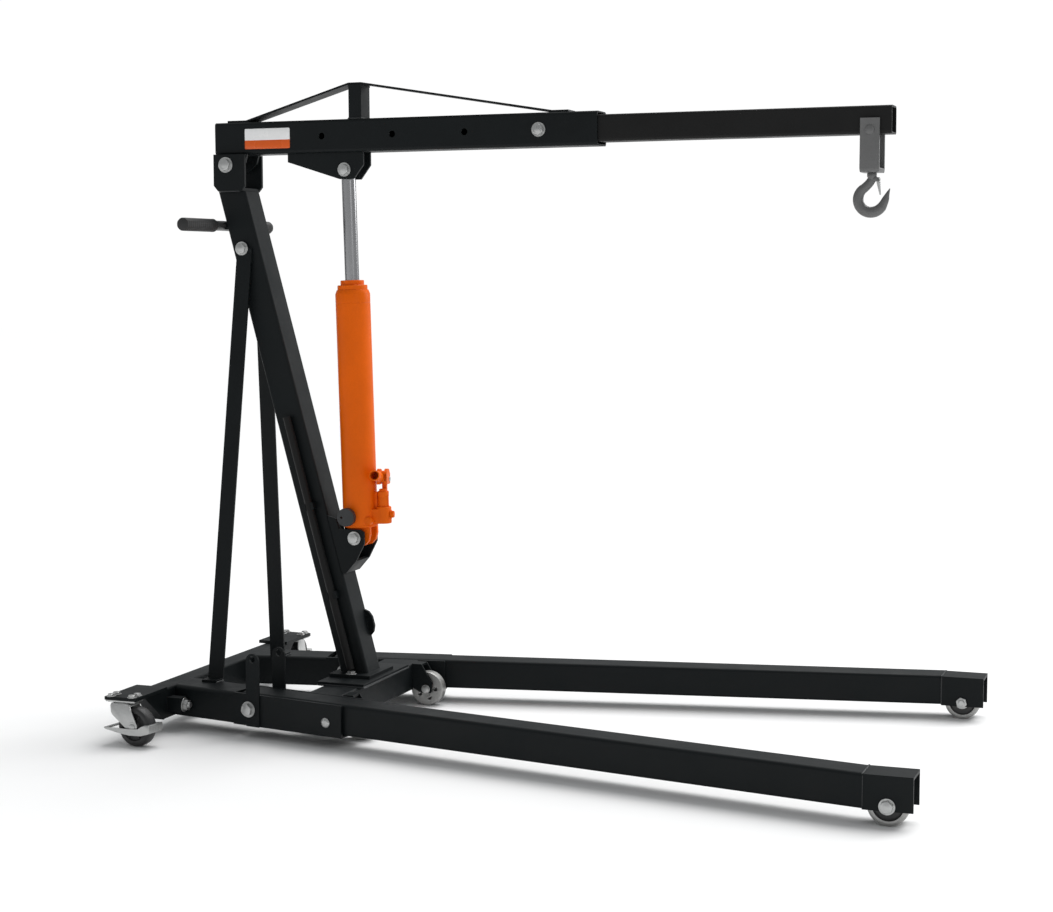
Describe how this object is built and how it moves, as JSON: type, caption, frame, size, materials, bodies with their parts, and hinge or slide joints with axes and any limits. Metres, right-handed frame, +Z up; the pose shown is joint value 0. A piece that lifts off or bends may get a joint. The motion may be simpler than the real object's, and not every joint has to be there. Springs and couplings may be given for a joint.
{
  "type": "engine hoist crane",
  "caption": "Folding wheeled workshop crane with a leaning mast, strap-braced telescopic boom, hand-pumped hydraulic ram and swivel hook.",
  "frame": {"origin": "on the floor under the middle of the crane's box", "axes": "+X the way the boom and legs point, +Y the crane's left side, +Z up"},
  "size_m": [1.9303, 1.172, 1.5776],
  "materials": {
    "black_paint": "satin",
    "graphite_paint": "satin",
    "zinc": "bright zinc",
    "orange_paint": "gloss",
    "hard_chrome": "polished",
    "hook_finish": "satin",
    "grip_rubber": "matte",
    "knob_plastic": "matte",
    "label_film": "satin",
    "wheel_iron": "satin",
    "caster_plastic": "matte"
  },
  "bodies": {
    "base": {"rear_beam": "black_paint", "caster_mounts": "black_paint", "socket_right": "black_paint", "socket_left": "black_paint", "cross_member": "black_paint", "mast_foot": "black_paint", "center_forks": "black_paint", "center_axles": "zinc", "mast": "black_paint", "mast_bolts": "zinc", "head_bracket": "black_paint", "head_bolt": "zinc", "brace_right": "black_paint", "brace_left": "black_paint", "frame_bolts": "zinc", "push_bar": "graphite_paint", "bar_bracket": "black_paint", "push_grips": "grip_rubber", "ram_bracket_lower": "black_paint", "lever_bar": "graphite_paint", "lever_clips": "black_paint", "leg_pivot_bolts": "zinc", "leg_lock_pins": "zinc", "caster_plates": "zinc", "caster_bolts": "zinc"},
    "boom": {"boom_tube": "black_paint", "ram_bracket_upper": "black_paint", "king_post": "black_paint", "truss_straps": "black_paint", "boom_label": "label_film", "boom_bolts": "zinc"},
    "extension": {"boom_extension": "graphite_paint"},
    "yoke": {"hook_yoke": "hook_finish", "yoke_pin": "hook_finish"},
    "hook": {"hook": "hook_finish"},
    "latch": {"hook_latch": "zinc"},
    "ram": {"ram_cylinder": "orange_paint", "pump_body": "orange_paint"},
    "rod": {"ram_rod": "hard_chrome"},
    "plunger": {"pump_plunger": "orange_paint"},
    "pump_lever": {"pump_socket": "orange_paint", "pump_pin": "zinc"},
    "knob": {"release_knob": "knob_plastic"},
    "leg_right": {"leg_right": "black_paint", "leg_fork_right": "black_paint", "front_axle_right": "zinc"},
    "leg_left": {"leg_left": "black_paint", "leg_fork_left": "black_paint", "front_axle_left": "zinc"},
    "front_wheel_right": {"front_wheel_right": "wheel_iron"},
    "front_wheel_left": {"front_wheel_left": "wheel_iron"},
    "center_wheel_right": {"center_wheel_right": "wheel_iron"},
    "center_wheel_left": {"center_wheel_left": "wheel_iron"},
    "caster_right": {"caster_fork_right": "zinc"},
    "caster_left": {"caster_fork_left": "zinc"},
    "caster_wheel_right": {"caster_wheel_right": "caster_plastic"},
    "caster_wheel_left": {"caster_wheel_left": "caster_plastic"},
    "pedal_right": {"brake_pedal_right": "zinc"},
    "pedal_left": {"brake_pedal_left": "zinc"}
  },
  "joints": [
    {"name": "boom_lift", "type": "hinge", "parent": "base", "child": "boom", "pos_m": [-0.8475, 0, 1.383], "axis": [0, -1, 0], "range_deg": [-20, 30]},
    {"name": "boom_extension", "type": "slide", "parent": "boom", "child": "extension", "axis": [1, 0, 0.0052], "range_m": [-0.564, 0]},
    {"name": "hook_swing", "type": "hinge", "parent": "extension", "child": "yoke", "pos_m": [0.75626, 0, 1.4339], "axis": [0, 1, 0], "range_deg": [-45, 45]},
    {"name": "hook_swivel", "type": "hinge", "parent": "yoke", "child": "hook", "pos_m": [0.75626, 0, 1.34], "axis": [0, 0, 1], "continuous": true},
    {"name": "hook_latch", "type": "hinge", "parent": "hook", "child": "latch", "pos_m": [0.77126, 0, 1.324], "axis": [0, 1, 0], "range_deg": [0, 15], "stiffness_Nm_per_rad": 0.05, "springref_deg": -11.46},
    {"name": "ram_tilt", "type": "hinge", "parent": "base", "child": "ram", "pos_m": [-0.508, 0, 0.461], "axis": [0, -1, 0], "range_deg": [-1, 1.5]},
    {"name": "ram_extend", "type": "slide", "parent": "ram", "child": "rod", "axis": [-0.0302, 0, 0.9995], "range_m": [-0.12, 0.17]},
    {"name": "pump_stroke", "type": "hinge", "parent": "ram", "child": "pump_lever", "pos_m": [-0.45145, 0.01773, 0.60478], "axis": [0.9844, 0.1736, 0.0298], "range_deg": [-18, 20]},
    {"name": "plunger_slide", "type": "slide", "parent": "ram", "child": "plunger", "axis": [-0.0302, 0, 0.9995], "range_m": [-0.007, 0.007]},
    {"name": "release_turn", "type": "hinge", "parent": "ram", "child": "knob", "pos_m": [-0.52163, 0, 0.51461], "axis": [0, 1, 0], "range_deg": [-180, 180]},
    {"name": "leg_fold_right", "type": "hinge", "parent": "base", "child": "leg_right", "pos_m": [-0.6595, -0.2495, 0.07225], "axis": [-0.184, -0.9829, 0], "range_deg": [0, 90]},
    {"name": "leg_fold_left", "type": "hinge", "parent": "base", "child": "leg_left", "pos_m": [-0.6595, 0.2495, 0.07225], "axis": [0.184, -0.9829, 0], "range_deg": [0, 90]},
    {"name": "front_wheel_right", "type": "hinge", "parent": "leg_right", "child": "front_wheel_right", "pos_m": [0.9105, -0.532, 0.044], "axis": [0, 1, 0], "continuous": true},
    {"name": "front_wheel_left", "type": "hinge", "parent": "leg_left", "child": "front_wheel_left", "pos_m": [0.9105, 0.532, 0.044], "axis": [0, 1, 0], "continuous": true},
    {"name": "center_wheel_right", "type": "hinge", "parent": "base", "child": "center_wheel_right", "pos_m": [-0.4155, -0.21, 0.044], "axis": [0, 1, 0], "continuous": true},
    {"name": "center_wheel_left", "type": "hinge", "parent": "base", "child": "center_wheel_left", "pos_m": [-0.4155, 0.21, 0.044], "axis": [0, 1, 0], "continuous": true},
    {"name": "caster_swivel_right", "type": "hinge", "parent": "base", "child": "caster_right", "pos_m": [-0.9215, -0.449, 0.104], "axis": [0, 0, 1], "continuous": true},
    {"name": "caster_swivel_left", "type": "hinge", "parent": "base", "child": "caster_left", "pos_m": [-0.9215, 0.449, 0.104], "axis": [0, 0, 1], "continuous": true},
    {"name": "caster_wheel_right", "type": "hinge", "parent": "caster_right", "child": "caster_wheel_right", "pos_m": [-0.88387, -0.45429, 0.0475], "axis": [0.1392, 0.9903, 0], "continuous": true},
    {"name": "brake_pedal_right", "type": "hinge", "parent": "caster_right", "child": "pedal_right", "pos_m": [-0.88387, -0.45429, 0.0475], "axis": [0.1392, 0.9903, 0], "range_deg": [-12, 0]},
    {"name": "caster_wheel_left", "type": "hinge", "parent": "caster_left", "child": "caster_wheel_left", "pos_m": [-0.9281, 0.48642, 0.0475], "axis": [-0.9848, -0.1736, 0], "continuous": true},
    {"name": "brake_pedal_left", "type": "hinge", "parent": "caster_left", "child": "pedal_left", "pos_m": [-0.9281, 0.48642, 0.0475], "axis": [-0.9848, -0.1736, 0], "range_deg": [-12, 0]}
  ],
  "couplings": [
    {"joint": "ram_tilt", "follows": "boom_lift", "ratio": 0.029},
    {"joint": "ram_extend", "follows": "boom_lift", "m_per_rad": 0.3008},
    {"joint": "plunger_slide", "follows": "pump_stroke", "m_per_rad": -0.018}
  ]
}
